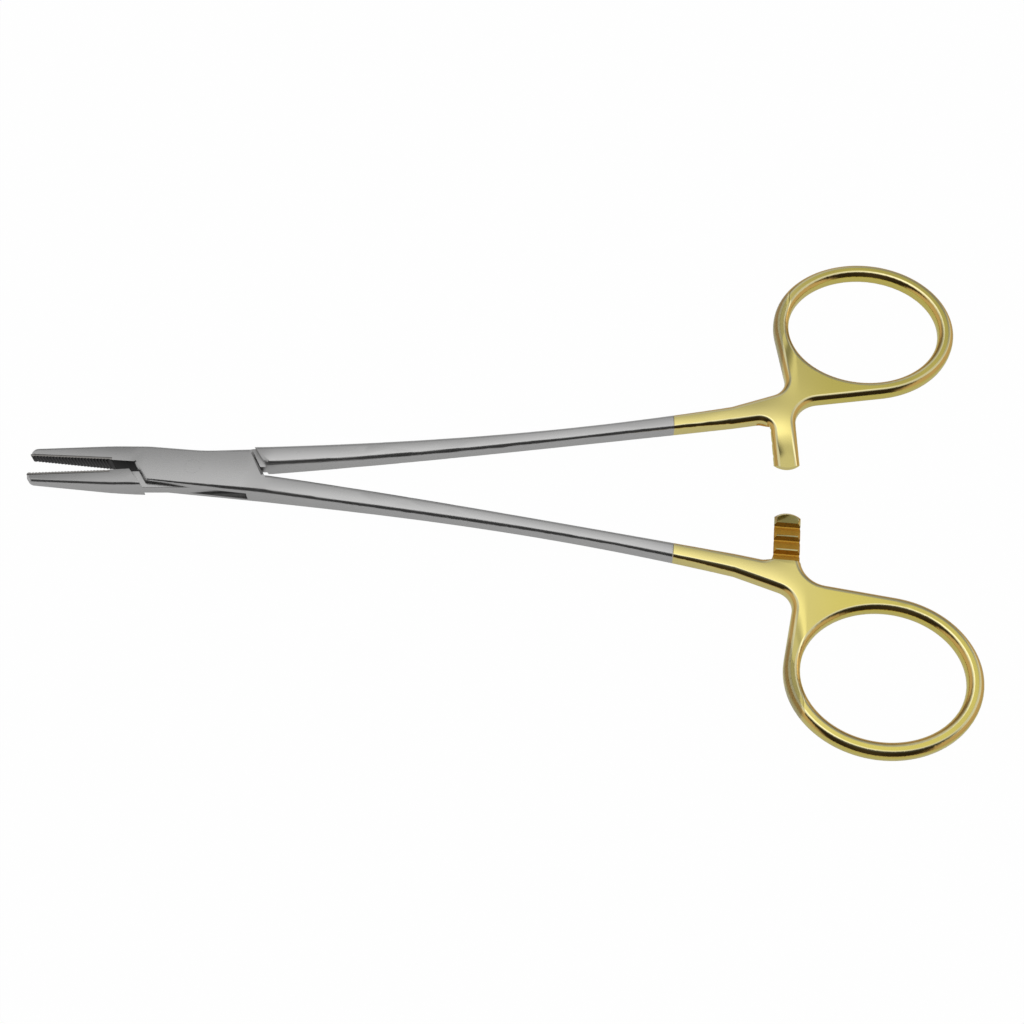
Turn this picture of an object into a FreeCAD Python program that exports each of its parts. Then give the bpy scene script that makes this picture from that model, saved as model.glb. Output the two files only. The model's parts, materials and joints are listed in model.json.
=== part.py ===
import FreeCAD, Part
import math
import os
from FreeCAD import Placement, Rotation, Vector

# A 16 cm surgical needle holder with a box lock, lying on its side and slightly open.
# Each half is one forging: jaw, lock, shank, ratchet arm and finger ring. The shank of one half
# passes as a thin tongue through the slot in the other half's box, and one flush pin joins them.
# A carbide insert is brazed on the grip side of each jaw.
#
# Both halves are drawn in one half frame, jaws closed: origin on the pivot axis at mid thickness,
# +X towards the rings, +Y towards the half's own ring, so its jaw lies on the -Y side.
# In the part's own frame the pivot axis is the Z axis and the underside of the box is z = 0.

DIMENSIONS = [
    ("half_opening", 3.12, "angle in degrees that each half is turned open from closed jaws"),
    ("pin_radius", 1.3, "pivot pin"),
    ("pin_press_gap", 0.01, "radial gap of the pin in the cheeks"),
    ("pin_running_gap", 0.04, "radial gap of the pin in the tongue"),
    ("box_thickness", 4.2, "over both cheeks"),
    ("tongue_thickness", 1.9, "tongue inside the slot"),
    ("tongue_gap", 0.05, "between the tongue and each cheek"),
    ("box_side", 3.4, "from the pivot axis to the box's jaw side"),
    ("box_front", 10.2, "pivot to the front corner of the cheeks, at the jaw"),
    ("box_front_low", 7.8, "pivot to the front corner of the cheeks, at the ring side"),
    ("box_ring_side", 3.25, "from the pivot axis to the box's ring side, at that corner"),
    ("box_rear", 12.29, "pivot to the rear corner of the cheeks, at the shank"),
    ("box_rear_low", 9.42, "pivot to the rear corner of the cheeks, at the jaw side"),
    ("box_flare", 1.0, "how much the cheeks widen at their rear corner"),
    ("flare_start", 1.3, "pivot to where that widening begins"),
    ("flare_bend", 30.0, "radius in the outline at that place"),
    ("slot_half_length", 9.65, "pivot to the end walls of the slot"),
    ("front_shoulder_gap", 0.62, "between the cheeks and the jaw's shoulders, jaws closed"),
    ("rear_shoulder_gap", 0.42, "between the cheeks and the shank's shoulders, jaws closed"),
    ("tongue_end_gap", 0.35, "between the tongue's shoulders and the slot's end walls"),
    ("tongue_side", 3.62, "from the pivot axis to the tongue's sides"),
    ("tongue_jaw_side", 3.3, "from the pivot axis to the tongue's side, where it runs over into its jaw"),
    ("tongue_bend", 5.0, "radius in the outline at that place"),
    ("shoulder_rise", 1.33, "from the tongue's corner to the straight outer side of the shank"),
    ("tongue_run_out", 1.63, "from the tongue's corner to where the tongue half's jaw begins"),
    ("edge_bevel", 0.5, "bevel along the ends of the cheeks"),
    ("box_round", 0.55, "rounding along the outer sides of box and jaw"),
    ("box_front_round", 0.3, "rounding along the box's ring side, at its front corner"),
    ("box_rear_round", 0.9, "the same, at the shank"),
    ("jaw_reach", 28.62, "pivot to jaw tip"),
    ("jaw_tip_width", 1.68, "middle plane to the jaw's outer side, at the tip"),
    ("jaw_mid_width", 3.08, "the same, at the insert's rear end"),
    ("jaw_mid_bend", 14.9, "radius in the outline there, for each millimetre of bare jaw up to the box"),
    ("jaw_root_bend", 1.99, "radius in the outline where the jaw begins, for the same length"),
    ("jaw_root_slope", 0.047, "slope of the outline from there to the box"),
    ("jaw_root_lead", 2.4, "from the cheeks' front corner back to where the box half's jaw begins"),
    ("jaw_taper_lead", 1.5, "from the cheeks' front corner back to where the jaw begins to thin"),
    ("jaw_tip_thickness", 1.9, "height of the jaw at its tip"),
    ("jaw_tip_round", 1.15, "outer corner radius of the tip, seen from above"),
    ("tip_gap", 0.03, "grip face to the middle plane at the tip, jaws closed"),
    ("grip_rear_gap", 0.16, "grip face to the middle plane at the insert's rear end"),
    ("insert_length", 14.4, "carbide insert"),
    ("insert_height", 0.45, "carbide insert, across the grip"),
    ("insert_tip_round", 0.4, "corner radius of the insert at the tip"),
    ("serration_pitch", 0.56, "cross grooves of the insert"),
    ("serration_depth", 0.12, "cross grooves of the insert"),
    ("shank_start", 13.0, "pivot to the beginning of the shank"),
    ("shank_rise", 2.1, "centre line's distance from the X axis at its beginning"),
    ("shank_slope", 0.0425, "centre line's slope at its beginning"),
    ("shank_bow", 0.001183, "centre line's change of slope for each millimetre"),
    ("shank_root_width", 3.55, "shank at the lock, seen from above"),
    ("root_length", 9.5, "stretch behind the lock where the shank loses half its extra height"),
    ("root_end_width", 3.42, "shank at the end of that stretch"),
    ("taper_length", 23.7, "lock to where the shank is down to its plain section"),
    ("taper_end_width", 3.12, "shank at that place"),
    ("shank_thickness", 2.95, "height of the shank at both ends of its plain stretch"),
    ("shank_mid_width", 2.6, "shank in the middle, where it is slimmest"),
    ("shank_mid_thickness", 2.8, "height of the shank in the middle"),
    ("shank_width", 2.76, "shank where it begins to widen towards the head"),
    ("spread_length", 11.9, "stretch before the head where the shank widens"),
    ("shank_round", 0.7, "rounding along the shank's edges"),
    ("head_start", 92.0, "pivot to where the shank spreads into the handle's head"),
    ("head_width", 3.7, "handle at that place"),
    ("head_thickness", 2.8, "height of web, arm and ring"),
    ("head_round", 1.1, "rounding along the edges of ring and arm"),
    ("ring_x", 116.25, "ring centre"),
    ("ring_y", 26.6, "ring centre"),
    ("ring_turn", -2.5, "angle in degrees of the ring's long axis"),
    ("ring_hole_long", 13.1, "half the long axis of the finger hole"),
    ("ring_hole_short", 11.15, "half the short axis of the finger hole"),
    ("ring_bar", 2.65, "width of the ring's bar"),
    ("neck_x", 101.95, "corner between shank and ring, on the outer side"),
    ("neck_y", 14.0, "corner between shank and ring, on the outer side"),
    ("neck_round", 3.2, "radius in that corner"),
    ("web_depth", 1.5, "from the ring down to the corner between arm and ring"),
    ("arm_x", 100.55, "middle of the ratchet arm"),
    ("arm_width", 4.4, "ratchet arm"),
    ("arm_past_axis", 1.6, "how far the arm reaches past the X axis, jaws closed"),
    ("arm_end_radius", 3.3, "radius of the arm's round end, seen from above"),
    ("arm_bevel", 0.45, "bevel around the arm's toothed face"),
    ("arm_front_round", 1.8, "radius between shank and arm"),
    ("arm_rear_round", 4.5, "radius between arm and ring"),
    ("arm_gap", 0.06, "from the middle plane to each arm's toothed face"),
    ("tooth_pitch", 2.55, "ratchet"),
    ("tooth_depth", 0.6, "ratchet"),
    ("tooth_drop", 0.5, "run of a tooth space's steeper side"),
    ("tooth_land", 0.24, "flat at each tooth's crest and root"),
    ("tooth_count", 3, "ratchet"),
    ("tooth_start", 2.0, "from the arm's end to the first tooth space"),
]

doc = FreeCAD.newDocument("needle_holder")
sheet = doc.addObject("Spreadsheet::Sheet", "Sizes")
for row, (alias, value, note) in enumerate(DIMENSIONS, start=1):
    sheet.set("A%d" % row, note)
    sheet.set("B%d" % row, str(value))
    sheet.setAlias("B%d" % row, alias)
doc.recompute()


class Sizes:
    """The sheet's values, read by their aliases."""

    def __getattr__(self, alias):
        return float(sheet.get(alias))


size = Sizes()
FAR = 200.0  # reach of cutting bodies, well beyond what they cut
LAP = 3.0  # blanks are drawn this far past the joint and trimmed, so that roundings end square
NEAR = 0.1  # slack when an edge is looked up by its place


def flat(x, y, z=0.0):
    return Vector(x, y, z)


def rounded_line(corners):
    """Edges of an open line through (x, y, radius) corners, with tangent arcs at the inner ones."""
    edges = []
    here = flat(*corners[0][:2])
    for index in range(1, len(corners) - 1):
        corner = flat(*corners[index][:2])
        ahead = flat(*corners[index + 1][:2])
        radius = corners[index][2]
        if radius == 0:
            edges.append(Part.LineSegment(here, corner).toShape())
            here = corner
            continue
        incoming = (flat(*corners[index - 1][:2]) - corner).normalize()
        outgoing = (ahead - corner).normalize()
        half_angle = incoming.getAngle(outgoing) / 2
        start = corner + incoming * (radius / math.tan(half_angle))
        end = corner + outgoing * (radius / math.tan(half_angle))
        inward = (incoming + outgoing).normalize()
        middle = corner + inward * (radius / math.sin(half_angle) - radius)
        edges.append(Part.LineSegment(here, start).toShape())
        edges.append(Part.Arc(start, middle, end).toShape())
        here = end
    edges.append(Part.LineSegment(here, flat(*corners[-1][:2])).toShape())
    return edges


def prism(edges, low, high):
    """Closed outline in the half frame's plan, from z = low to z = high."""
    face = Part.Face(Part.Wire(Part.__sortEdges__(edges)))
    face.translate(Vector(0, 0, low))
    return face.extrude(Vector(0, 0, high - low))


def closed(corners):
    """Edges of a closed outline that begins at a sharp corner."""
    return rounded_line(corners + [corners[0]])


def polygon(points, low, high):
    return prism(closed([(x, y, 0) for x, y in points]), low, high)


def trimmed(solid, low, high):
    """What lies between two x values."""
    return solid.common(Part.makeBox(high - low, 2 * FAR, 2 * FAR, Vector(low, -FAR, -FAR)))


def side_profile(points):
    """Solid between a profile of (x, half height) points and its mirror image, endless across."""
    upper = [Vector(x, -FAR, z) for x, z in points]
    lower = [Vector(x, -FAR, -z) for x, z in reversed(points)]
    face = Part.Face(Part.makePolygon(upper + lower + upper[:1]))
    return face.extrude(Vector(0, 2 * FAR, 0))


def along_outline(solid, first, last, side):
    """Level edges of a solid whose middles lie between two x values and where side(x, y) is true."""
    found = []
    for edge in solid.Edges:
        begin, end = edge.Vertexes[0].Point, edge.Vertexes[-1].Point
        level = math.hypot(end.x - begin.x, end.y - begin.y)
        if level < abs(end.z - begin.z) or not begin.z * end.z > 0:
            continue
        middle = edge.valueAt((edge.FirstParameter + edge.LastParameter) / 2)
        if first < middle.x < last and side(middle.x, middle.y):
            found.append(edge)
    return found


def bevelled(solid, start, end, height):
    """Solid with a bevel along its edge from start to end, on top and underneath.
    The material is on the left of that line, and the start is a free corner."""
    along = (end - start).normalize()
    across = Vector(-along.y, along.x, 0)
    for sign in (1, -1):
        ridge = Vector(start.x, start.y, sign * height) - along * LAP
        inside = ridge + across * size.edge_bevel
        outside = ridge - across * size.edge_bevel
        below = outside - Vector(0, 0, 2 * sign * size.edge_bevel)
        above = outside + Vector(0, 0, sign * size.edge_bevel)
        face = Part.Face(Part.makePolygon([inside, below, above, inside]))
        solid = solid.cut(face.extrude(end - start + along * LAP))
    return solid


# Shank

def centre_line(x):
    run = x - size.shank_start
    return size.shank_rise + size.shank_slope * run + size.shank_bow * run ** 2 / 2


def shank_section(x, width, thickness, radius):
    """Rounded rectangle across the shank at x."""
    low = centre_line(x) - width / 2
    plate = Part.makeBox(1, width, thickness, Vector(x, low, -thickness / 2))
    lengthwise = [e for e in plate.Edges if abs(e.Vertexes[0].X - e.Vertexes[1].X) > NEAR]
    return end_outline(plate.makeFillet(radius, lengthwise), min)


def end_outline(solid, pick):
    """Outline of the solid's face with the lowest (min) or highest (max) x."""
    return pick(solid.Faces, key=lambda f: f.CenterOfMass.x).OuterWire


def shank(blank, handle):
    """Loft from the lock's end face through the shank's sections to the head's end face."""
    root = size.shank_start
    taper_end = root + size.taper_length
    spread = size.head_start - size.spread_length
    root_thickness = (size.shank_thickness + size.box_thickness) / 2
    stations = [
        (root + size.root_length, size.root_end_width, root_thickness, size.shank_round),
        (taper_end, size.taper_end_width, size.shank_thickness, size.shank_round),
        ((taper_end + spread) / 2, size.shank_mid_width, size.shank_mid_thickness, size.shank_round),
        (spread, size.shank_width, size.shank_thickness, size.shank_round),
    ]
    outlines = [shank_section(*station) for station in stations]
    return Part.makeLoft([end_outline(blank, max)] + outlines + [end_outline(handle, min)], True, False)


# Head: ring, web and ratchet arm

def ring_ellipse(long_half, short_half):
    ellipse = Part.Ellipse(Vector(0, 0, 0), long_half, short_half)
    ellipse.rotate(Placement(Vector(0, 0, 0), Rotation(Vector(0, 0, 1), size.ring_turn)))
    ellipse.translate(flat(size.ring_x, size.ring_y))
    return ellipse


def tangent_angle(point, long_half, short_half, side):
    """Parameter of the ring's outline where a line from the point touches it."""
    local = point - flat(size.ring_x, size.ring_y)
    turn = math.radians(-size.ring_turn)
    x = (local.x * math.cos(turn) - local.y * math.sin(turn)) / long_half
    y = (local.x * math.sin(turn) + local.y * math.cos(turn)) / short_half
    return math.atan2(y, x) + side * math.acos(1 / math.hypot(x, y))


def head():
    """Handle from the end of the shank: web, arm and ring, all in one thickness."""
    start = size.head_start
    inner = centre_line(start) - size.head_width / 2
    outer = centre_line(start) + size.head_width / 2
    slope = size.shank_slope + size.shank_bow * (start - size.shank_start)
    outer_slope = (size.neck_y - outer) / (size.neck_x - start)
    arm_front = size.arm_x - size.arm_width / 2
    arm_rear = size.arm_x + size.arm_width / 2
    arm_root = inner + slope * (arm_front - start)
    long_half = size.ring_hole_long + size.ring_bar
    short_half = size.ring_hole_short + size.ring_bar
    web = flat(arm_rear, size.ring_y - short_half - size.web_depth)
    neck = flat(size.neck_x, size.neck_y)
    outline = ring_ellipse(long_half, short_half)
    web_angle = tangent_angle(web, long_half, short_half, 1)
    neck_angle = tangent_angle(neck, long_half, short_half, -1)
    web_touch = outline.value(web_angle)
    neck_touch = outline.value(neck_angle)
    edges = rounded_line([
        (start - LAP, outer - outer_slope * LAP, 0),
        (start - LAP, inner - slope * LAP, 0),
        (arm_front, arm_root, size.arm_front_round),
        (arm_front, -size.arm_past_axis - LAP, 0),
        (arm_rear, -size.arm_past_axis - LAP, 0),
        (web.x, web.y, size.arm_rear_round),
        (web_touch.x, web_touch.y, 0),
    ])
    end_angle = neck_angle
    while end_angle < web_angle:
        end_angle += 2 * math.pi
    edges.append(outline.toShape(web_angle, end_angle))
    edges += rounded_line([
        (neck_touch.x, neck_touch.y, 0),
        (neck.x, neck.y, size.neck_round),
        (start - LAP, outer - outer_slope * LAP, 0),
    ])
    half = size.head_thickness / 2
    solid = prism(edges, -half, half)
    hole = ring_ellipse(size.ring_hole_long, size.ring_hole_short).toShape()
    solid = solid.cut(prism([hole], -half, half))
    rim = along_outline(solid, start - LAP + NEAR, FAR, lambda x, y: True)
    return trimmed(solid.makeFillet(size.head_round, rim), start, FAR)


def arm_end(top):
    """What is cut from the arm's end to make it round and bevelled, its toothed face at z = top."""
    radius = size.arm_end_radius
    centre = flat(size.arm_x, radius - size.arm_past_axis)
    bevel_start = centre + Vector(0, 0, top - size.arm_bevel)
    kept = Part.makeCylinder(radius, FAR, bevel_start - Vector(0, 0, FAR))
    kept = kept.fuse(Part.makeCone(radius, radius - size.arm_bevel, size.arm_bevel, bevel_start))
    block = Part.makeBox(2 * radius, FAR, FAR + top, centre + Vector(-radius, -FAR, -FAR))
    return block.cut(kept)


def arm_side_bevel(side, top, root):
    """What is cut from an edge of the toothed face: side is -1 for the edge nearer to the pivot, else 1."""
    edge = size.arm_x + side * size.arm_width / 2
    bevel = size.arm_bevel
    inside, outside = edge - side * bevel, edge + side * bevel
    points = [(inside, top), (outside, top - 2 * bevel), (outside, top + bevel)]
    corners = [Vector(x, root - FAR, z) for x, z in points]
    face = Part.Face(Part.makePolygon(corners + corners[:1]))
    return face.extrude(Vector(0, FAR, 0))


def arm_relief():
    """What is cut from the arm whose teeth face up: the space above it, tooth spaces, bevels and its end."""
    top = -size.arm_gap
    end = -size.arm_past_axis
    first = end + size.tooth_start
    points = [Vector(0, end - FAR, FAR), Vector(0, end - FAR, top)]
    for index in range(int(size.tooth_count)):
        space = first + index * size.tooth_pitch
        points.append(Vector(0, space, top))
        points.append(Vector(0, space + size.tooth_drop, top - size.tooth_depth))
        points.append(Vector(0, space + size.tooth_drop + size.tooth_land, top - size.tooth_depth))
        points.append(Vector(0, space + size.tooth_pitch - size.tooth_land, top))
    root = first + size.tooth_count * size.tooth_pitch
    points.append(Vector(0, root, top))
    points.append(Vector(0, root, size.head_thickness / 2))
    points.append(Vector(0, root, FAR))
    face = Part.Face(Part.makePolygon(points + points[:1]))
    face.translate(Vector(size.arm_x - size.arm_width, 0, 0))
    spaces = face.extrude(Vector(2 * size.arm_width, 0, 0))
    return spaces.fuse([arm_side_bevel(-1, top, root), arm_side_bevel(1, top, root), arm_end(top)])


# Jaw and lock

def grip_line(x):
    """Grip face of the closed jaw: it touches at the tip first."""
    part = (x + size.jaw_reach) / size.insert_length
    return -(size.tip_gap + part * (size.grip_rear_gap - size.tip_gap))


def jaw_outer(root):
    """Outer side of the jaw, from x = root at the box to the tip."""
    tip = -size.jaw_reach
    mid = tip + size.insert_length
    bare = -size.box_front - mid
    return [
        (root, -size.jaw_mid_width - size.jaw_root_slope * (root - mid), size.jaw_root_bend * bare),
        (mid, -size.jaw_mid_width, size.jaw_mid_bend * bare),
        (tip, -size.jaw_tip_width, size.jaw_tip_round),
    ]


def jaw_inner():
    """Inner side of the jaw, from the tip along the insert's seat to the bare root."""
    tip = -size.jaw_reach
    rear = tip + size.insert_length
    return [
        (tip, grip_line(tip) - size.insert_height, 0),
        (rear, grip_line(rear) - size.insert_height, 0),
        (rear, grip_line(rear), 0),
    ]


def jaw_profile():
    half = size.box_thickness / 2
    return side_profile([
        (-size.jaw_reach, size.jaw_tip_thickness / 2),
        (-size.box_front + size.jaw_taper_lead, half),
        (size.shank_start + LAP, half),
    ])


def shank_joint():
    """The two corners where the lock's outline meets the shank, outer side first."""
    x = size.shank_start
    middle = centre_line(x)
    half = size.shank_root_width / 2
    return flat(x, middle + half), flat(x, middle - half)


def past_joint(before, corner):
    """Outline corner on the line through both points, one lap behind the joint."""
    ahead = corner + (corner - before) * (LAP / (corner.x - before.x))
    return (ahead.x, ahead.y, 0)


def jaw_side_edges(blank, last):
    """Outer edges of the jaw, up to x = last."""
    side = NEAR - size.jaw_tip_width + size.jaw_tip_round / 4
    return along_outline(blank, -size.jaw_reach - NEAR, last, lambda x, y: y < side)


def growing_fillet(blank, edges):
    """Rounding along the box's ring side, which grows from its front corner to the shank."""
    if edges[0].Vertexes[0].X < edges[0].Vertexes[-1].X:
        return blank.makeFillet(size.box_front_round, size.box_rear_round, edges)
    return blank.makeFillet(size.box_rear_round, size.box_front_round, edges)


def box_blank():
    """Jaw and box of the half that carries the slot."""
    half = size.box_thickness / 2
    outer, inner = shank_joint()
    front = flat(-size.box_front, -size.grip_rear_gap / 2)
    front_low = flat(-size.box_front_low, size.box_ring_side)
    rear = flat(size.box_rear, inner.y)
    rear_low = flat(size.box_rear_low, -size.box_side - size.box_flare)
    corners = jaw_inner() + [
        (front.x, front.y, 0),
        (front_low.x, front_low.y, 0),
        past_joint(front_low, outer),
        past_joint(rear, inner),
        (rear.x, rear.y, 0),
        (rear_low.x, rear_low.y, 0),
        (size.flare_start, -size.box_side, size.flare_bend),
    ] + jaw_outer(-size.box_front + size.jaw_root_lead)
    blank = prism(closed(corners), -half, half).common(jaw_profile())
    last = size.shank_start + LAP
    for level in (half, -half):
        ring_side = [e for e in along_outline(blank, front_low.x, last, lambda x, y: y > size.box_ring_side)
                     if e.CenterOfMass.z * level > 0]
        blank = growing_fillet(blank, ring_side)
    joint_side = along_outline(blank, rear.x, last, lambda x, y: y < inner.y + NEAR)
    blank = blank.makeFillet(size.shank_round, joint_side)
    blank = blank.makeFillet(size.box_round, jaw_side_edges(blank, rear_low.x))
    blank = bevelled(blank, front_low, front, half)
    blank = bevelled(blank, rear_low, rear, half)
    return trimmed(blank, -FAR, size.shank_start)


def box_slot():
    """Opening that the tongue passes through."""
    half = size.tongue_thickness / 2 + size.tongue_gap
    end = size.slot_half_length
    front = -size.grip_rear_gap / 2
    before = -size.box_front - LAP
    behind = size.box_rear + LAP
    return polygon([
        (-end, -FAR), (-end, front), (before, front), (before, FAR),
        (end, FAR), (end, -front), (behind, -front), (behind, -FAR),
    ], -half, half)


def shoulder_lines():
    """Ends of the tongue half's shoulders, each parallel to the cheek edge that it faces."""
    front = flat(-size.box_front, size.grip_rear_gap / 2)
    front_low = flat(-size.box_front_low, -size.box_ring_side)
    rear = flat(size.box_rear, -shank_joint()[1].y)
    rear_low = flat(size.box_rear_low, size.box_side + size.box_flare)
    lines = []
    cheek_edges = [
        (front, front_low, size.front_shoulder_gap),
        (rear_low, rear, size.rear_shoulder_gap),
    ]
    for start, end, gap in cheek_edges:
        along = (end - start).normalize()
        away = Vector(along.y, -along.x, 0)
        if away.dot(start) < 0:
            away = -away
        lines.append((start + away * gap, end + away * gap, along))
    return lines


def tongue_blank():
    """Jaw, tongue and shoulders of the half that passes through the slot."""
    half = size.box_thickness / 2
    outer, inner = shank_joint()
    clear = size.slot_half_length - size.tongue_end_gap
    side = size.tongue_side
    corner = math.sqrt(clear ** 2 - side ** 2)
    behind_tongue = flat(corner + size.shoulder_rise, outer.y)
    behind_slot = flat(clear, inner.y)
    corners = jaw_inner() + [
        (-clear, -size.grip_rear_gap / 2, 0),
        (-corner, side, 0),
        (corner, side, 0),
        (behind_tongue.x, behind_tongue.y, 0),
        past_joint(behind_tongue, outer),
        past_joint(behind_slot, inner),
        (behind_slot.x, behind_slot.y, 0),
        (corner, -side, 0),
        (-corner, -size.tongue_jaw_side, size.tongue_bend),
    ] + jaw_outer(-corner - size.tongue_run_out)
    blank = prism(closed(corners), -half, half).common(jaw_profile())
    last = size.shank_start + LAP
    joint_sides = along_outline(blank, behind_tongue.x, last, lambda x, y: True)
    blank = blank.makeFillet(size.shank_round, joint_sides)
    blank = blank.makeFillet(size.box_round, jaw_side_edges(blank, corner))
    (front, front_low, front_along), (rear_low, rear, rear_along) = shoulder_lines()
    reach = size.shank_start
    room = [
        front_low + front_along * reach, rear + rear_along * reach, rear_low - rear_along * reach,
        flat(front.x - LAP, reach), front - front_along * LAP,
    ]
    points = [(p.x, p.y) for p in room]
    for sign in (1, -1):
        near, far = sign * size.tongue_thickness / 2, sign * FAR
        blank = blank.cut(polygon(points, min(near, far), max(near, far)))
    return trimmed(blank, -FAR, size.shank_start)


def insert(half_height):
    """Carbide insert on the jaw's seat, with grooves across its grip face."""
    tip = -size.jaw_reach
    rear = tip + size.insert_length
    corners = [
        (rear, grip_line(rear) - size.insert_height, 0),
        (tip, grip_line(tip) - size.insert_height, 0),
        (tip, grip_line(tip), size.insert_tip_round),
    ]
    grooves = int(size.insert_length / size.serration_pitch)
    for index in range(1, grooves):
        x = tip + index * size.serration_pitch
        valley = x + size.serration_pitch / 2
        corners.append((x, grip_line(x), 0))
        corners.append((valley, grip_line(valley) - size.serration_depth, 0))
    corners.append((rear, grip_line(rear), 0))
    return prism(closed(corners), -half_height, half_height).common(jaw_profile())


def half_forging(blank, teeth_up):
    """Blank, shank and head as one solid, with the arm thinned and toothed."""
    relief = arm_relief()
    if not teeth_up:
        relief = relief.mirror(Vector(0, 0, 0), Vector(0, 0, 1))
    handle = head()
    return blank.fuse([shank(blank, handle), handle.cut(relief)]).removeSplitter()


def across(shape):
    """The same shape with its ring on the other side of the X axis."""
    return shape.mirror(Vector(0, 0, 0), Vector(0, 1, 0))


# The document's objects

def feature(label, shape):
    made = doc.addObject("Part::Feature", label)
    made.Label = label
    made.Shape = shape
    return made


def cylinder(label, radius, height, base):
    """Cylinder on the pivot axis, bound to the sheet."""
    made = doc.addObject("Part::Cylinder", label)
    made.Label = label
    made.setExpression("Radius", radius)
    made.setExpression("Height", height)
    made.setExpression("Placement.Base.z", base)
    return made


def joined(kind, label, base, tool):
    made = doc.addObject(kind, label)
    made.Label = label
    made.Base = base
    made.Tool = tool
    return made


def put(made, angle):
    """Turns a piece of the half frame open and lifts it so that the box's underside is at z = 0."""
    lift = Vector(0, 0, size.box_thickness / 2)
    made.Placement = Placement(lift, Rotation(Vector(0, 0, 1), angle))


FULL_HEIGHT = "Sizes.box_thickness"
HALF_BELOW = "-Sizes.box_thickness / 2"

slot = feature("box_slot", across(box_slot()))
cheek_bore = cylinder("cheek_bore", "Sizes.pin_radius + Sizes.pin_press_gap", FULL_HEIGHT, HALF_BELOW)
box_openings = joined("Part::Fuse", "box_openings", slot, cheek_bore)
box_forging = feature("box_forging", across(half_forging(box_blank(), True)))
box_half = joined("Part::Cut", "box_half", box_forging, box_openings)

tongue_bore = cylinder("tongue_bore", "Sizes.pin_radius + Sizes.pin_running_gap", FULL_HEIGHT, HALF_BELOW)
tongue_forging = feature("tongue_forging", half_forging(tongue_blank(), False))
tongue_half = joined("Part::Cut", "tongue_half", tongue_forging, tongue_bore)

box_jaw_insert = feature("box_jaw_insert", across(insert(size.box_thickness / 2)))
tongue_jaw_insert = feature("tongue_jaw_insert", insert(size.box_thickness / 2))

pivot_pin = cylinder("pivot_pin", "Sizes.pin_radius", FULL_HEIGHT, "0")

put(box_half, -size.half_opening)
put(box_jaw_insert, -size.half_opening)
put(tongue_half, size.half_opening)
put(tongue_jaw_insert, size.half_opening)
doc.recompute()

for checked in doc.Objects:
    if "Invalid" in checked.State or "Error" in checked.State:
        raise RuntimeError("%s did not compute: %s" % (checked.Label, checked.State))

os.makedirs("parts", exist_ok=True)
for piece in (box_half, tongue_half, box_jaw_insert, tongue_jaw_insert, pivot_pin):
    if piece.Shape.isNull() or not piece.Shape.isValid() or len(piece.Shape.Solids) != 1:
        raise RuntimeError("%s is not one valid solid" % piece.Label)
    piece.Shape.exportStep("parts/%s.step" % piece.Label)
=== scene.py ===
"""Finish, stage and camera of a surgical needle holder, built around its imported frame."""

import json
import math

import bmesh
import bpy
from bpy.props import FloatProperty, FloatVectorProperty, PointerProperty
from mathutils import Matrix, Vector

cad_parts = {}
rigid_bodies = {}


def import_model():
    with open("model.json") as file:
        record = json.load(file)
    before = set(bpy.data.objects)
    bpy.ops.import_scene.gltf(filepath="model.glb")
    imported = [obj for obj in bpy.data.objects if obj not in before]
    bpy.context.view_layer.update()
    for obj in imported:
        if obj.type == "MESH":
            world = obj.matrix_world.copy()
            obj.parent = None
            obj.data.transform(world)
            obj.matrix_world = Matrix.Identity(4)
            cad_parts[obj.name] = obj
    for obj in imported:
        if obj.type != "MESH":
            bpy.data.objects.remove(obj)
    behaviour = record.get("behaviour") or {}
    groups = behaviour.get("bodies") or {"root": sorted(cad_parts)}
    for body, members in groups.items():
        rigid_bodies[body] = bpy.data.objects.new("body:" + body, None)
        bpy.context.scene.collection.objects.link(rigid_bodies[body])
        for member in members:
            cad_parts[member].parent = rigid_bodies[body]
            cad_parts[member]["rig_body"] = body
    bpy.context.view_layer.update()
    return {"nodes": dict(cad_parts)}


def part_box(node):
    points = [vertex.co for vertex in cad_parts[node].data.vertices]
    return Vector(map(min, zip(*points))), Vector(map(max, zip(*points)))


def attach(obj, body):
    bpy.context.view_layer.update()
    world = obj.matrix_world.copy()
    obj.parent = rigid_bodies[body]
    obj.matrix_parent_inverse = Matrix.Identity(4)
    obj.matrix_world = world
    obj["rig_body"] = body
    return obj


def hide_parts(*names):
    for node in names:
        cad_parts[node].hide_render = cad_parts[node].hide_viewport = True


bl_info = {
    "name": "Needle Holder Finish",
    "version": (1, 0, 0),
    "blender": (4, 5, 0),
    "location": "View3D > Sidebar > Needle Holder",
    "description": "Finishes the forged halves, grip plates and pin of a needle holder and sets its stage",
    "category": "Object",
}

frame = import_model()

MILLIMETRE = 0.001
IMAGE_SIDE = 1024  # pixels of the square picture
SENSOR = 36.0  # millimetres
WHITE = (1.0, 1.0, 1.0, 1.0)


# Sizes and colours

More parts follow.
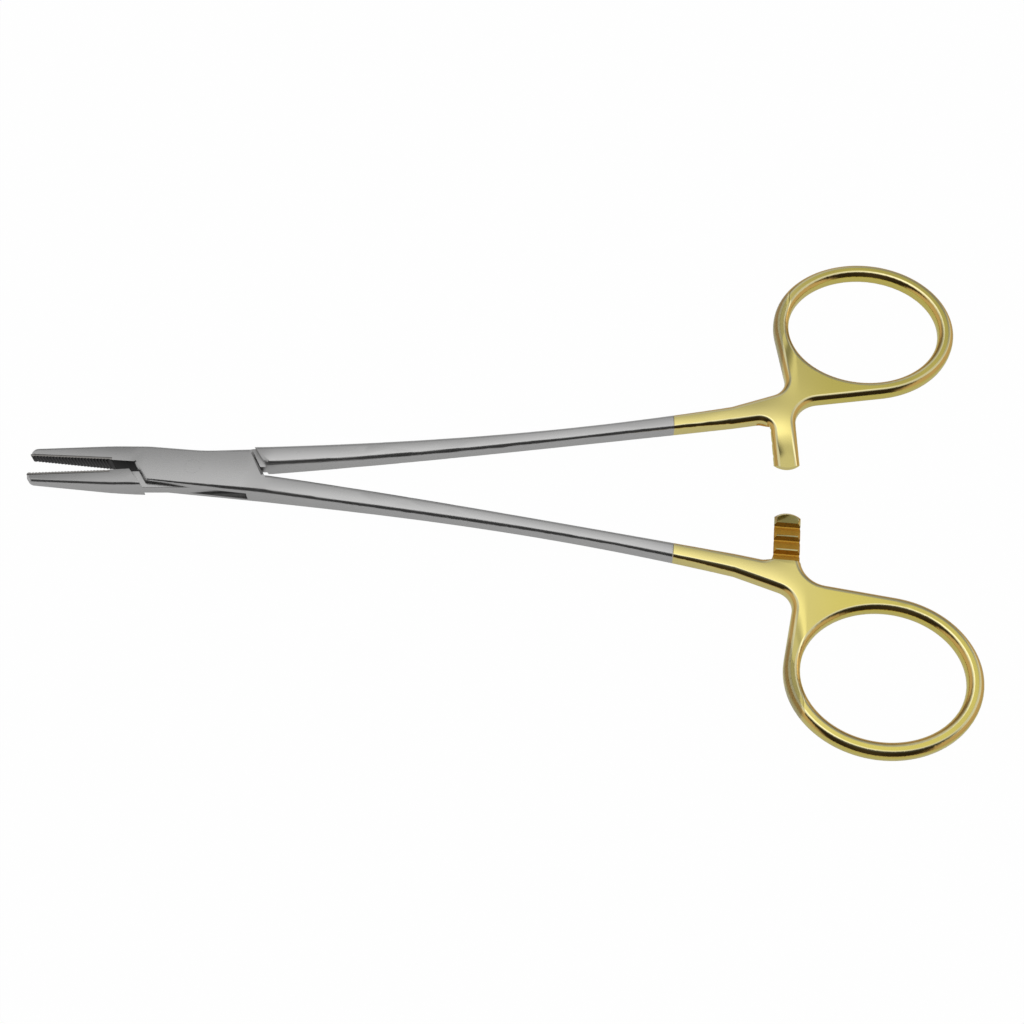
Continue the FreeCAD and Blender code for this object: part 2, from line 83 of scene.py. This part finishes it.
class ForgingSizes(bpy.types.PropertyGroup):
    """How the meshes of the pieces are cleaned and their edges broken."""

    half_opening: FloatProperty(
        name="Half Opening", description="Angle of each half from the middle line, jaws as modelled",
        default=math.radians(3.12), subtype="ANGLE", unit="ROTATION")
    merge_distance: FloatProperty(
        name="Merge Distance", description="Vertices closer than this are one",
        default=0.000002, precision=6, unit="LENGTH")
    flat_angle: FloatProperty(
        name="Flat Angle", description="Facets that differ by less than this make one flat face",
        default=math.radians(0.2), subtype="ANGLE", unit="ROTATION")
    sharp_angle: FloatProperty(
        name="Sharp Angle", description="Edges that turn more than this are sharp",
        default=math.radians(28.0), subtype="ANGLE", unit="ROTATION")
    edge_break: FloatProperty(
        name="Edge Break", description="Width of the fine bevel on sharp edges",
        default=0.00007, precision=6, unit="LENGTH")
    broken_up_to: FloatProperty(
        name="Broken Up To", description="Sharp edges are broken up to this distance behind the pivot",
        default=0.009, unit="LENGTH")
    arm_place: FloatProperty(
        name="Arm Place", description="Pivot to the middle of the ratchet arms",
        default=0.10055, unit="LENGTH")
    arm_width: FloatProperty(
        name="Arm Width", description="Width of the ratchet arms", default=0.0044, unit="LENGTH")
    arm_gap: FloatProperty(
        name="Arm Gap", description="Middle of the thickness to an arm's toothed face",
        default=0.00006, precision=6, unit="LENGTH")
    first_tooth: FloatProperty(
        name="First Tooth", description="Middle line to the first tooth space",
        default=0.0004, precision=5, unit="LENGTH")
    tooth_reach: FloatProperty(
        name="Tooth Reach", description="Height that the milled faces take up, from an arm's toothed face",
        default=0.0007, precision=5, unit="LENGTH")
    tooth_rim: FloatProperty(
        name="Tooth Rim", description="Faces this near to an arm's toothed face are its uncut crests",
        default=0.00002, precision=6, unit="LENGTH")
    root_wall: FloatProperty(
        name="Root Wall", description="Middle line to the wall behind the last tooth",
        default=0.007, unit="LENGTH")
    root_wall_rise: FloatProperty(
        name="Root Wall Rise", description="How far that wall may go past an arm's toothed face",
        default=0.0001, precision=5, unit="LENGTH")
    jaw_root: FloatProperty(
        name="Jaw Root", description="Pivot to where the bare jaw comes out of the box",
        default=-0.0098, unit="LENGTH")


class SteelFinish(bpy.types.PropertyGroup):
    """Satin ground stainless steel, with painted shade on the jaw faces that look across to the other half.
    """

    colour: FloatVectorProperty(
        name="Steel", description="Colour of the satin steel", subtype="COLOR",
        size=3, min=0.0, max=1.0, default=(0.53, 0.528, 0.525))
    # Painted shade: near-black colour on the jaw faces that look across the gap to the other half, where
    # shade falls.
    inner_shade_colour: FloatVectorProperty(
        name="Inner Jaw", description="Colour of the darkened faces between the jaws", subtype="COLOR",
        size=3, min=0.0, max=1.0, default=(0.022, 0.021, 0.022))
    roughness: FloatProperty(
        name="Roughness", description="Roughness of the satin steel", default=0.28, min=0.0, max=1.0)
    roughness_change: FloatProperty(
        name="Roughness Change", description="How much the roughness differs from place to place",
        default=0.06, min=0.0, max=1.0)
    grain_depth: FloatProperty(
        name="Grain Depth", description="Depth of the grinding lines",
        default=0.0000009, precision=7, unit="LENGTH")
    grain_pitch: FloatProperty(
        name="Grain Pitch", description="Distance between the grinding lines",
        default=0.00012, precision=6, unit="LENGTH")
    grain_stretch: FloatProperty(
        name="Grain Stretch", description="Length of a grinding line for each pitch", default=30.0, min=1.0)
    crown: FloatProperty(
        name="Crown", description="Slope that the ground faces reach at their edges", default=0.1, min=0.0)


class CrownForm(bpy.types.PropertyGroup):
    """Where the ridge of the slightly domed ground faces runs, on a half's own axes."""

    jaw_slope: FloatProperty(
        name="Jaw Slope", description="Sideways run of the ridge for each length of jaw", default=0.045)
    jaw_offset: FloatProperty(
        name="Jaw Offset", description="How far the jaw's ridge would pass from the pivot",
        default=-0.0006, precision=5, unit="LENGTH")
    shank_offset: FloatProperty(
        name="Shank Offset", description="Middle line to the ridge where the shank begins",
        default=0.0021, precision=5, unit="LENGTH")
    shank_origin: FloatProperty(
        name="Shank Origin", description="Pivot to where the shank begins", default=0.013, unit="LENGTH")
    shank_slope: FloatProperty(
        name="Shank Slope", description="Sideways run of the ridge for each length of shank",
        default=0.0425)
    shank_bend: FloatProperty(
        name="Shank Bend", description="How the ridge bends outwards along the shank", default=0.59)
    jaw_width: FloatProperty(
        name="Jaw Width", description="Half width of the domed face on the jaw",
        default=0.0012, precision=5, unit="LENGTH")
    box_width: FloatProperty(
        name="Box Width", description="Half width of the domed face on the box",
        default=0.0034, precision=5, unit="LENGTH")
    shank_width: FloatProperty(
        name="Shank Width", description="Half width of the domed face on the shank",
        default=0.0015, precision=5, unit="LENGTH")
    box_front: FloatVectorProperty(
        name="Box Front", description="Along the half, where the jaw's ridge fades into the box's",
        size=2, unit="LENGTH", default=(-0.011, -0.009))
    box_rear: FloatVectorProperty(
        name="Box Rear", description="Along the half, where the box's ridge fades into the shank's",
        size=2, unit="LENGTH", default=(0.009, 0.014))
    end: FloatVectorProperty(
        name="End", description="Along the half, where the dome fades out before the ring",
        size=2, unit="LENGTH", default=(0.096, 0.104))


class PlatingFinish(bpy.types.PropertyGroup):
    """Gold plating of the handles, with painted highlights and painted shade in some of its colours."""

    colour: FloatVectorProperty(
        name="Gold", description="Colour of the plating", subtype="COLOR",
        size=3, min=0.0, max=1.0, default=(0.80, 0.70, 0.27))
    # Painted light by place: the plating is paler on the shank and web, where the brighter highlights fall,
    # and deeper on the rings.
    ring_colour: FloatVectorProperty(
        name="Ring Gold", description="Colour of the plating on the rings", subtype="COLOR",
        size=3, min=0.0, max=1.0, default=(0.74, 0.64, 0.16))
    # Painted highlight: pale, cream gold along the rounded edges.
    edge_highlight_colour: FloatVectorProperty(
        name="Polished Gold", description="Colour of the plating along the polished edges", subtype="COLOR",
        size=3, min=0.0, max=1.0, default=(0.88, 0.80, 0.44))
    # Deeper, browner gold: painted shade where the rounded edges turn over, and also the colour of random
    # darker patches.
    deep_tone_and_edge_shade_colour: FloatVectorProperty(
        name="Deep Gold", description="Colour of the plating where the edges turn over", subtype="COLOR",
        size=3, min=0.0, max=1.0, default=(0.66, 0.42, 0.12))
    # Painted shade: the deeper orange gold stands for the shade in the recesses between the ratchet teeth.
    tooth_recess_shade_colour: FloatVectorProperty(
        name="Milled Gold", description="Colour of the plating in the ratchet's teeth", subtype="COLOR",
        size=3, min=0.0, max=1.0, default=(0.74, 0.42, 0.06))
    roughness: FloatProperty(
        name="Roughness", description="Roughness of the plating", default=0.15, min=0.0, max=1.0)
    milled_roughness: FloatProperty(
        name="Milled Roughness", description="Roughness in the ratchet's teeth",
        default=0.5, min=0.0, max=1.0)
    start: FloatProperty(
        name="Start", description="Distance from the pivot to the plating's edge",
        default=0.0819, unit="LENGTH")
    ring_begins: FloatVectorProperty(
        name="Ring Begins", description="Along the half, where the ring's colour fades in",
        size=2, unit="LENGTH", default=(0.096, 0.112))
    blur: FloatProperty(
        name="Blur", description="Width of the plating's edge",
        default=0.00012, precision=6, unit="LENGTH")
    wave_length: FloatProperty(
        name="Wave Length", description="Length of the forging's soft waves under the plating",
        default=0.009, unit="LENGTH")
    wave_height: FloatProperty(
        name="Wave Height", description="Height of those waves",
        default=0.00012, precision=6, unit="LENGTH")


class CarbideFinish(bpy.types.PropertyGroup):
    """Ground carbide of the grip plates, with painted shade on their grooved grip faces."""

    colour: FloatVectorProperty(
        name="Carbide", description="Colour of the grip plates", subtype="COLOR",
        size=3, min=0.0, max=1.0, default=(0.42, 0.405, 0.385))
    # Painted shade: near-black on the grooved grip faces, which look across the gap to the other jaw.
    grip_shade_colour: FloatVectorProperty(
        name="Grip", description="Colour of the grooved grip faces", subtype="COLOR",
        size=3, min=0.0, max=1.0, default=(0.03, 0.029, 0.03))
    roughness: FloatProperty(
        name="Roughness", description="Roughness of the grip plates", default=0.36, min=0.0, max=1.0)


class StageSetup(bpy.types.PropertyGroup):
    """Camera, floor and light tent."""

    azimuth: FloatProperty(
        name="Azimuth", description="Camera's direction round the object", default=math.radians(5.372),
        subtype="ANGLE", unit="ROTATION")
    elevation: FloatProperty(
        name="Elevation", description="Camera's height above the horizon", default=math.radians(62.0),
        subtype="ANGLE", unit="ROTATION")
    roll: FloatProperty(
        name="Roll", description="Camera's turn about its own axis", default=math.radians(-2.83),
        subtype="ANGLE", unit="ROTATION")
    distance: FloatProperty(
        name="Distance", description="Camera to its target", default=0.276987, unit="LENGTH")
    target: FloatVectorProperty(
        name="Target", description="What the camera looks at", subtype="TRANSLATION", unit="LENGTH",
        size=3, default=(0.054447, -0.005598, 0.0021))
    focal_pixels: FloatProperty(
        name="Focal Length", description="Focal length in pixels of the square picture", default=1652.7)
    floor_radius: FloatProperty(
        name="Floor Radius", description="Radius of the round floor", default=3.8, unit="LENGTH")
    tent_radius: FloatProperty(
        name="Tent Radius", description="Radius of the light tent", default=4.0, unit="LENGTH")
    floor_colour: FloatVectorProperty(
        name="Floor", description="Colour of the floor", subtype="COLOR",
        size=3, min=0.0, max=1.0, default=(0.62, 0.62, 0.62))
    floor_white: FloatProperty(
        name="Floor White", description="Share of plain white that the camera sees in the floor",
        default=0.99, min=0.0, max=1.0)
    floor_white_mirrored: FloatProperty(
        name="Mirrored White", description="Share of plain white that metal sees in the floor",
        default=0.45, min=0.0, max=1.0)


# Shader building

class Wire:
    """A shader value that is written in sums like a number: each operator adds its Math node."""

    def __init__(self, finish, socket):
        self.finish = finish
        self.socket = socket

    def maths(self, operation, first, second=0.0):
        return self.finish.node("ShaderNodeMath", {"operation": operation}, {0: first, 1: second})

    def __add__(self, other):
        return self.maths("ADD", self, other)

    def __radd__(self, other):
        return self.maths("ADD", other, self)

    def __sub__(self, other):
        return self.maths("SUBTRACT", self, other)

    def __rsub__(self, other):
        return self.maths("SUBTRACT", other, self)

    def __mul__(self, other):
        return self.maths("MULTIPLY", self, other)

    def __rmul__(self, other):
        return self.maths("MULTIPLY", other, self)

    def __truediv__(self, other):
        return self.maths("DIVIDE", self, other)

    def __neg__(self):
        return self.maths("MULTIPLY", self, -1.0)

    def __abs__(self):
        return self.maths("ABSOLUTE", self)


class Finish:
    """A node tree under construction, of a material or of the world."""

    def __init__(self, tree):
        self.tree = tree
        tree.nodes.clear()

    def node(self, kind, settings=None, values=None, output=0):
        """One node: its settings first, then the values or links of its sockets."""
        made = self.tree.nodes.new(kind)
        for name, value in (settings or {}).items():
            if name == "stops":
                set_stops(made.color_ramp, value)
            else:
                setattr(made, name, value)
        for key, value in (values or {}).items():
            if isinstance(value, Wire):
                self.tree.links.new(value.socket, made.inputs[key])
            else:
                made.inputs[key].default_value = value
        return Wire(self, made.outputs[output]) if made.outputs else None

    def parts(self, vector):
        """The three numbers of a vector."""
        first = self.node("ShaderNodeSeparateXYZ", None, {0: vector})
        outputs = first.socket.node.outputs
        return first, Wire(self, outputs[1]), Wire(self, outputs[2])

    def step(self, value, low, high):
        """0 below low, 1 above high, and smooth between them."""
        return self.node("ShaderNodeMapRange", {"interpolation_type": "SMOOTHSTEP"},
                         {"Value": value, "From Min": low, "From Max": high})

    def mixed(self, share, first, second):
        """Colour between two colours."""
        return self.node("ShaderNodeMix", {"data_type": "RGBA"}, {0: share, 6: first, 7: second}, output=2)

    def noise(self, vector, scale, detail=2.0):
        return self.node("ShaderNodeTexNoise", None, {"Vector": vector, "Scale": scale, "Detail": detail})


def set_stops(ramp, stops):
    """Gives a colour ramp its (position, grey or colour) stops."""
    while len(ramp.elements) > 1:
        ramp.elements.remove(ramp.elements[-1])
    for index, (position, value) in enumerate(stops):
        stop = ramp.elements[0] if index == 0 else ramp.elements.new(position)
        stop.position = position
        stop.color = (value, value, value, 1.0) if isinstance(value, float) else (*value, 1.0)


def new_material(name):
    material = bpy.data.materials.new(name)
    material.use_nodes = True
    return material, Finish(material.node_tree)


def opaque(colour):
    return (*colour, 1.0)


def facing_middle(finish, side):
    """1 on faces that look across the middle line to the other half, 0 elsewhere: the mask of the painted
    shade between the jaws.
    """
    turn = bpy.context.scene.holder_forging.half_opening
    x, y, z = finish.parts(finish.node("ShaderNodeTexCoord", output=1))
    return finish.step(y * (side * math.cos(turn)) - x * math.sin(turn), 0.35, 0.6)


def crown_height(finish, along, across, slope):
    """Height of the slightly domed top of jaw, box and shank, measured from its ridge, in metres."""
    form = bpy.context.scene.holder_crown
    behind_jaw = finish.step(along, *form.box_front)
    on_shank = finish.step(along, *form.box_rear)
    run = along - form.shank_origin
    jaw_ridge = along * form.jaw_slope + form.jaw_offset
    shank_ridge = form.shank_offset + run * form.shank_slope + run * run * form.shank_bend
    ridge = jaw_ridge * (1.0 - behind_jaw) + shank_ridge * on_shank
    box_step = form.box_width - form.jaw_width
    half_width = form.jaw_width + box_step * behind_jaw + (form.shank_width - form.box_width) * on_shank
    off = across - ridge
    return off * off * (-0.5 * slope) / half_width * (1.0 - finish.step(along, *form.end))


def along_half(finish, side):
    """Object coordinates turned into a half's own: along its middle line, across it and up, in
    metres. The side is 1 for the half that is turned to +Y, and -1 for the other."""
    turn = bpy.context.scene.holder_forging.half_opening
    place = finish.node("ShaderNodeTexCoord", output=3)
    x, y, z = finish.parts(place)
    along = x * math.cos(turn) + y * (side * math.sin(turn))
    across = y * (side * math.cos(turn)) - x * math.sin(turn)
    return along, across, z


def grain(finish, along, across, up, pitch, stretch):
    """Noise drawn out along the half, like grinding lines."""
    place = finish.node("ShaderNodeCombineXYZ", None, {0: along / stretch, 1: across, 2: up})
    return finish.noise(place, 1.0 / pitch, 3.0)


def metal_output(finish, colour, roughness, normal):
    surface = finish.node("ShaderNodeBsdfPrincipled", None, {
        "Base Color": colour, "Metallic": 1.0, "Roughness": roughness, "Normal": normal})
    finish.node("ShaderNodeOutputMaterial", None, {"Surface": surface})


def gold_by_tilt(finish, gold, along):
    """Plating is satin on flats and sides; its colour follows the tilt of the surface: a painted highlight
    of pale gold along the rounded edges, and painted shade of deeper, browner gold where these turn over."""
    x, y, z = finish.parts(finish.node("ShaderNodeTexCoord", output=1))
    tilt = z.maths("ARCCOSINE", abs(z)) / (math.pi / 2)
    # Painted light by place: paler gold up to the web, deeper gold on the rings.
    ring = finish.step(along, *gold.ring_begins)
    plain = finish.mixed(ring, opaque(gold.colour), opaque(gold.ring_colour))
    # Painted highlight and painted shade by tilt: pale gold just past the flats, deeper gold further round,
    # plain gold again on the sides.
    edge = finish.step(tilt, 0.03, 0.08)
    turned_edge_shade = finish.step(tilt, 0.22, 0.34)
    side = finish.step(tilt, 0.55, 0.75)
    edges = finish.mixed(turned_edge_shade, opaque(gold.edge_highlight_colour), opaque(gold.deep_tone_and_edge_shade_colour))
    return finish.mixed(edge * (1.0 - side), plain, edges)


def forging_material(name, side):
    """Satin steel that turns into gold plating on the handle, with painted shade on the inner jaw faces and
    painted highlights and shade in the gold.
    """
    sizes = bpy.context.scene.holder_forging
    steel = bpy.context.scene.holder_steel
    gold = bpy.context.scene.holder_plating
    material, finish = new_material(name)
    along, across, up = along_half(finish, side)
    plated = finish.step(along, gold.start - gold.blur, gold.start + gold.blur)
    lines = grain(finish, along, across, up, steel.grain_pitch, steel.grain_stretch)
    place = finish.node("ShaderNodeCombineXYZ", None, {0: along, 1: across, 2: up})
    patches = finish.noise(place, 1.0 / (6 * MILLIMETRE), 4.0)
    cloud = finish.noise(place, 1.0 / (0.5 * MILLIMETRE), 2.0)
    on_jaw = 1.0 - finish.step(along, sizes.jaw_root - gold.blur, sizes.jaw_root)
    # Painted shade: the jaw faces that look across to the other half get the near-black inner shade colour.
    inner_shade = facing_middle(finish, side) * on_jaw
    steel_tone = finish.mixed(patches, opaque([0.94 * part for part in steel.colour]), opaque(steel.colour))
    steel_tone = finish.mixed(inner_shade, steel_tone, opaque(steel.inner_shade_colour))
    gold_tone = gold_by_tilt(finish, gold, along)
    gold_tone = finish.mixed(patches * 0.08, gold_tone, opaque(gold.deep_tone_and_edge_shade_colour))
    colour = finish.mixed(plated, steel_tone, gold_tone)
    steel_gloss = steel.roughness + (patches - 0.5) * steel.roughness_change
    steel_gloss = steel_gloss + (lines - 0.5) * steel.roughness_change + inner_shade * 0.2
    gold_gloss = gold.roughness + (cloud - 0.5) * 0.04 + (patches - 0.5) * 0.05
    roughness = steel_gloss + (gold_gloss - steel_gloss) * plated
    fine = (lines * (1.0 - plated * 0.8) + cloud * 0.1) * (0.35 * steel.grain_depth)
    waves = finish.noise(place, 1.0 / gold.wave_length, 0.0) * plated * gold.wave_height
    crown = crown_height(finish, along, across, steel.crown)
    normal = finish.node("ShaderNodeBump", None, {
        "Strength": 1.0, "Distance": 1.0, "Height": fine + waves + crown})
    metal_output(finish, colour, roughness, normal)
    return material


def tooth_material(name, side):
    """Plating on the milled faces of the ratchet teeth: less polished, and coloured a deeper orange as
    painted shade in the tooth recesses.
    """
    gold = bpy.context.scene.holder_plating
    material, finish = new_material(name)
    along, across, up = along_half(finish, side)
    place = finish.node("ShaderNodeCombineXYZ", None, {0: along, 1: across / 12.0, 2: up})
    lines = finish.noise(place, 1.0 / (0.15 * MILLIMETRE), 3.0)
    patches = finish.noise(place, 1.0 / (1.2 * MILLIMETRE), 2.0)
    # Painted shade in the tooth recesses, varied at random by patches.
    dull = opaque([0.85 * part for part in gold.tooth_recess_shade_colour])
    colour = finish.mixed(patches, dull, opaque(gold.tooth_recess_shade_colour))
    roughness = gold.milled_roughness + (lines - 0.5) * 0.2
    normal = finish.node("ShaderNodeBump", None, {
        "Strength": 0.5, "Distance": 0.000004, "Height": lines})
    metal_output(finish, colour, roughness, normal)
    return material


def carbide_material(name, side):
    """Fine ground grip plate, a little browner than the steel, with painted shade on the grooved faces that
    look across to the other jaw.
    """
    carbide = bpy.context.scene.holder_carbide
    material, finish = new_material(name)
    along, across, up = along_half(finish, side)
    place = finish.node("ShaderNodeCombineXYZ", None, {0: along, 1: across, 2: up})
    speckle = finish.noise(place, 1.0 / (0.08 * MILLIMETRE), 3.0)
    patches = finish.noise(place, 1.0 / (2.5 * MILLIMETRE), 2.0)
    dark = opaque([0.75 * part for part in carbide.colour])
    colour = finish.mixed(patches * 0.6 + speckle * 0.4, dark, opaque(carbide.colour))
    # Painted shade on the grip faces that look across to the other jaw.
    colour = finish.mixed(facing_middle(finish, side), colour, opaque(carbide.grip_shade_colour))
    roughness = carbide.roughness + (speckle - 0.5) * 0.15
    normal = finish.node("ShaderNodeBump", None, {
        "Strength": 0.4, "Distance": 0.000003, "Height": speckle})
    metal_output(finish, colour, roughness, normal)
    return material


# Pieces

def in_tooth_space(face, side, middle):
    """True for the milled faces of a half's ratchet arm: side is 1 for the tongue half, whose teeth look
    down, and middle is the height halfway up the instrument."""
    sizes = bpy.context.scene.holder_forging
    place = face.calc_center_median()
    turn = sizes.half_opening
    along = place.x * math.cos(turn) + place.y * side * math.sin(turn)
    across = place.y * side * math.cos(turn) - place.x * math.sin(turn)
    if abs(along - sizes.arm_place) > sizes.arm_width / 2 or across < sizes.first_tooth:
        return False
    below = -side * (place.z - middle) + sizes.arm_gap
    inward = face.normal.y * side * math.cos(turn) - face.normal.x * math.sin(turn)
    cut = -side * face.normal.z > 0.2 and -sizes.tooth_reach < below < -sizes.tooth_rim
    behind_teeth = across > sizes.root_wall and below > -sizes.root_wall_rise
    return cut or inward < -0.95 and behind_teeth


def finished_piece(node, name, materials, break_edges=True, toothed=0):
    """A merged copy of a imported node, with smooth fillets and finely broken edges."""
    sizes = bpy.context.scene.holder_forging
    source = frame["nodes"][node]
    work = bmesh.new()
    work.from_mesh(source.data)
    bmesh.ops.remove_doubles(work, verts=work.verts, dist=sizes.merge_distance)
    bmesh.ops.dissolve_limit(work, angle_limit=sizes.flat_angle, use_dissolve_boundaries=False,
                             verts=work.verts, edges=work.edges)
    work.normal_update()
    low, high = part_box("box_half")
    for face in work.faces:
        face.material_index = int(toothed and in_tooth_space(face, toothed, (low.z + high.z) / 2))
    if break_edges:
        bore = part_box("pivot_pin")[1].x + sizes.edge_break
        corners = [
            edge for edge in work.edges
            if edge.is_manifold and edge.calc_face_angle() > sizes.sharp_angle
            and all(end.co.x < sizes.broken_up_to and end.co.xy.length > bore for end in edge.verts)]
        bmesh.ops.bevel(work, geom=corners, offset=sizes.edge_break, offset_type="OFFSET", segments=2,
                        profile=0.5, affect="EDGES", material=-1, clamp_overlap=False)
    mesh = bpy.data.meshes.new(name)
    work.to_mesh(mesh)
    work.free()
    for material in materials:
        mesh.materials.append(material)
    mesh.shade_smooth()
    mesh.set_sharp_from_angle(angle=sizes.sharp_angle)
    piece = bpy.data.objects.new(name, mesh)
    bpy.context.scene.collection.objects.link(piece)
    weighted = piece.modifiers.new("even_shading", "WEIGHTED_NORMAL")
    weighted.keep_sharp = True
    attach(piece, source["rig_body"])
    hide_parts(node)
    return piece


class HOLDER_OT_forged_halves(bpy.types.Operator):
    """Finish both forged halves: satin steel, plated handles and milled ratchet teeth."""

    bl_idname = "holder.forged_halves"
    bl_label = "Forged Halves"

    def execute(self, context):
        for node, name, side in (("box_half", "box_half_forging", -1),
                                 ("tongue_half", "tongue_half_forging", 1)):
            materials = [forging_material(name + "_finish", side), tooth_material(name + "_teeth", side)]
            finished_piece(node, name, materials, toothed=side)
        return {"FINISHED"}


class HOLDER_OT_grip_plates(bpy.types.Operator):
    """Finish the carbide grip plates of both jaws."""

    bl_idname = "holder.grip_plates"
    bl_label = "Grip Plates"

    def execute(self, context):
        for node, name, side in (("box_jaw_insert", "box_jaw_grip_plate", -1),
                                 ("tongue_jaw_insert", "tongue_jaw_grip_plate", 1)):
            finished_piece(node, name, [carbide_material(name + "_finish", side)])
        return {"FINISHED"}


class HOLDER_OT_pivot_pin(bpy.types.Operator):
    """Finish the flush pin of the lock."""

    bl_idname = "holder.pivot_pin"
    bl_label = "Pivot Pin"

    def execute(self, context):
        pin_finish = forging_material("lock_pin_finish", -1)
        finished_piece("pivot_pin", "lock_pin", [pin_finish], break_edges=False)
        return {"FINISHED"}


# Stage

def camera_matrix(stage):
    """Place and turn of a camera that looks at the target from its azimuth and elevation."""
    back = Vector((math.sin(stage.azimuth) * math.cos(stage.elevation),
                   -math.cos(stage.azimuth) * math.cos(stage.elevation),
                   math.sin(stage.elevation)))
    right = (-back).cross(Vector((0.0, 0.0, 1.0))).normalized()
    up = back.cross(right)
    across = math.cos(stage.roll) * right + math.sin(stage.roll) * up
    upward = math.cos(stage.roll) * up - math.sin(stage.roll) * right
    matrix = Matrix((across, upward, back)).transposed().to_4x4()
    matrix.translation = Vector(stage.target) + back * stage.distance
    return matrix


def add_camera(stage):
    data = bpy.data.cameras.new("photo_camera")
    data.sensor_width = SENSOR
    data.lens = stage.focal_pixels * SENSOR / IMAGE_SIDE
    data.clip_start = 0.01
    data.clip_end = 20.0
    data.dof.use_dof = False
    camera = bpy.data.objects.new("photo_camera", data)
    camera.matrix_world = camera_matrix(stage)
    bpy.context.scene.collection.objects.link(camera)
    bpy.context.scene.camera = camera


def seen_directly(finish):
    """1 for camera rays, and a second value that is 1 for rays that metal or glass send out."""
    camera = finish.node("ShaderNodeLightPath")
    outputs = camera.socket.node.outputs
    mirrored = Wire(finish, outputs["Is Glossy Ray"]) + Wire(finish, outputs["Is Transmission Ray"])
    return camera, mirrored


def floor_material(stage):
    """Pale floor that is nearly plain white to the eye, and keeps a soft shadow."""
    material, finish = new_material("pale_floor")
    camera, mirrored = seen_directly(finish)
    paint = finish.node("ShaderNodeBsdfDiffuse", None, {"Color": opaque(stage.floor_colour)})
    white = finish.node("ShaderNodeEmission", None, {"Color": WHITE, "Strength": 1.0})
    share = camera * stage.floor_white + mirrored * stage.floor_white_mirrored
    surface = finish.node("ShaderNodeMixShader", None, {0: share, 1: paint, 2: white})
    finish.node("ShaderNodeOutputMaterial", None, {"Surface": surface})
    return material


def tent_material():
    """Light tent: bright panel overhead, softer behind, and a dark front where the photographer stands."""
    material, finish = new_material("light_tent")
    place = finish.node("ShaderNodeTexCoord", output=3)
    direction = finish.node("ShaderNodeVectorMath", {"operation": "NORMALIZE"}, {0: place})
    x, y, z = finish.parts(direction)
    turn = z.maths("ARCTAN2", z, -y) / math.pi
    arch = finish.node("ShaderNodeValToRGB", {"stops": [
        (0.00, 0.05), (0.40, 0.06), (0.455, 0.15), (0.50, 1.0), (0.53, 1.25), (0.60, 1.2), (0.65, 0.97),
        (0.68, 0.78), (0.71, 0.60), (0.76, 0.48), (1.0, 0.42),
    ]}, {0: turn})
    spread = finish.node("ShaderNodeValToRGB", {"stops": [
        (0.0, 1.15), (0.10, 1.08), (0.16, 0.88), (0.23, 0.78),
        (0.40, 0.56), (0.60, 0.55), (0.80, 0.72), (1.0, 0.72),
    ]}, {0: abs(x + 0.02)})
    sides = finish.step(abs(x), 0.55, 0.75)
    panels = finish.node("ShaderNodeMix", {"data_type": "RGBA", "blend_type": "MULTIPLY"}, {
        0: 1.0, 6: arch, 7: spread}, output=2)
    colour = finish.mixed(sides, panels, opaque((0.72, 0.72, 0.72)))
    light = finish.node("ShaderNodeEmission", None, {"Color": colour, "Strength": 1.0})
    finish.node("ShaderNodeOutputMaterial", None, {"Surface": light})
    return material


def add_stage_mesh(name, work, material):
    mesh = bpy.data.meshes.new(name)
    work.to_mesh(mesh)
    work.free()
    mesh.materials.append(material)
    made = bpy.data.objects.new(name, mesh)
    bpy.context.scene.collection.objects.link(made)
    return made


class HOLDER_OT_stage(bpy.types.Operator):
    """Set the camera, the pale floor, the light tent and the white background."""

    bl_idname = "holder.stage"
    bl_label = "Stage"

    def execute(self, context):
        stage = context.scene.holder_stage
        add_camera(stage)
        work = bmesh.new()
        bmesh.ops.create_circle(work, cap_ends=True, segments=96, radius=stage.floor_radius)
        add_stage_mesh("floor", work, floor_material(stage))
        work = bmesh.new()
        bmesh.ops.create_uvsphere(work, u_segments=48, v_segments=24, radius=stage.tent_radius)
        bmesh.ops.reverse_faces(work, faces=work.faces)
        tent = add_stage_mesh("light_tent", work, tent_material())
        tent.visible_camera = False
        world = bpy.data.worlds.new("white_background")
        world.use_nodes = True
        finish = Finish(world.node_tree)
        camera, mirrored = seen_directly(finish)
        sky = finish.node("ShaderNodeBackground", None, {
            "Color": WHITE, "Strength": 0.6 + 0.4 * (camera + mirrored)})
        finish.node("ShaderNodeOutputWorld", None, {"Surface": sky})
        context.scene.world = world
        context.scene.view_settings.view_transform = "Standard"
        return {"FINISHED"}


class HOLDER_PT_panel(bpy.types.Panel):
    """Steps of the needle holder's finish."""

    bl_label = "Needle Holder"
    bl_idname = "HOLDER_PT_panel"
    bl_space_type = "VIEW_3D"
    bl_region_type = "UI"
    bl_category = "Needle Holder"

    def draw(self, context):
        for operator in OPERATORS:
            self.layout.operator(operator.bl_idname)


GROUPS = {
    "holder_forging": ForgingSizes,
    "holder_steel": SteelFinish,
    "holder_crown": CrownForm,
    "holder_plating": PlatingFinish,
    "holder_carbide": CarbideFinish,
    "holder_stage": StageSetup,
}
OPERATORS = (HOLDER_OT_stage, HOLDER_OT_forged_halves, HOLDER_OT_grip_plates, HOLDER_OT_pivot_pin)


def register():
    for name, group in GROUPS.items():
        bpy.utils.register_class(group)
        setattr(bpy.types.Scene, name, PointerProperty(type=group))
    for operator in OPERATORS:
        bpy.utils.register_class(operator)
    bpy.utils.register_class(HOLDER_PT_panel)


def unregister():
    bpy.utils.unregister_class(HOLDER_PT_panel)
    for operator in reversed(OPERATORS):
        bpy.utils.unregister_class(operator)
    for name, group in GROUPS.items():
        delattr(bpy.types.Scene, name)
        bpy.utils.unregister_class(group)


def main():
    register()
    bpy.ops.holder.stage()
    bpy.ops.holder.forged_halves()
    bpy.ops.holder.grip_plates()
    bpy.ops.holder.pivot_pin()


if __name__ == "__main__":
    main()
